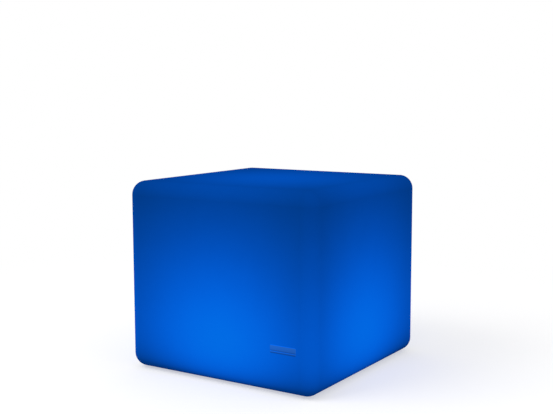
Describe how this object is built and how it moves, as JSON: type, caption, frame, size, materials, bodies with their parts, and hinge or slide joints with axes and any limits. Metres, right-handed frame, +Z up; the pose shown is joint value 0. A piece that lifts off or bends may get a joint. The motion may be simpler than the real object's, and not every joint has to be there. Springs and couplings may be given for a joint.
{
  "type": "led cube light",
  "caption": "Rounded moulded cube seat and table light that glows from a battery light unit screwed into a well in its base.",
  "frame": {"origin": "middle of the footprint, on the floor that the feet stand on", "axes": "+Z up, -Y the front face, +X to the right of the front"},
  "size_m": [0.4, 0.4, 0.352],
  "materials": {
    "glowing_shell": "semi-matt moulded, lit from inside",
    "black_rubber": "matt",
    "brass": "machined",
    "grey_silicone": "matt",
    "white_abs": "fine texture",
    "stainless_steel": "plain",
    "grey_button": "satin",
    "spring_steel": "plain",
    "switch_black": "satin",
    "nickel": "plated",
    "clear_acrylic": "polished",
    "lamp_white": "glossy",
    "green_board": "solder mask",
    "connector_white": "satin",
    "cell_wrap": "shrink wrap",
    "lead_black": "satin",
    "deck_aluminium": "milled",
    "white_board": "white solder mask",
    "frosted_dome": "frosted, lit from inside"
  },
  "bodies": {
    "root": {"cube_shell": "glowing_shell", "rubber_feet": "black_rubber", "threaded_inserts": "brass", "base_gasket": "grey_silicone", "base_cover": "white_abs", "base_screws": "stainless_steel", "button_spring": "spring_steel", "power_switch": "switch_black", "charge_socket": "switch_black", "socket_pin": "brass", "socket_nut": "nickel", "cap_anchor": "grey_silicone", "status_light_pipe": "clear_acrylic", "status_led": "lamp_white", "control_board": "green_board", "board_screws": "stainless_steel", "board_components": "switch_black", "lead_sockets": "connector_white", "battery_cells": "cell_wrap", "battery_clamp": "white_abs", "clamp_screws": "stainless_steel", "battery_lead": "lead_black", "battery_plug": "connector_white", "led_lead": "lead_black", "led_plug": "connector_white", "lead_grommet": "black_rubber", "led_deck": "deck_aluminium", "led_board": "white_board", "led_board_screws": "stainless_steel", "led_chips": "lamp_white", "ir_receiver": "switch_black", "dome_seal": "grey_silicone", "diffuser_dome": "frosted_dome", "dome_screws": "stainless_steel"},
    "button": {"power_button": "grey_button", "button_seal": "black_rubber", "switch_plunger": "switch_black"},
    "cap": {"port_cap": "grey_silicone"}
  },
  "joints": [
    {"name": "button_press", "type": "slide", "parent": "root", "child": "button", "axis": [0, 0, 1], "range_m": [0, 0.001], "stiffness_N_per_m": 800, "springref_m": -0.001, "deforming": ["button_spring"]},
    {"name": "cap_swing", "type": "hinge", "parent": "root", "child": "cap", "pos_m": [0.036, 0.016, 0.0285], "axis": [0, -1, 0], "range_deg": [0, 100]}
  ]
}
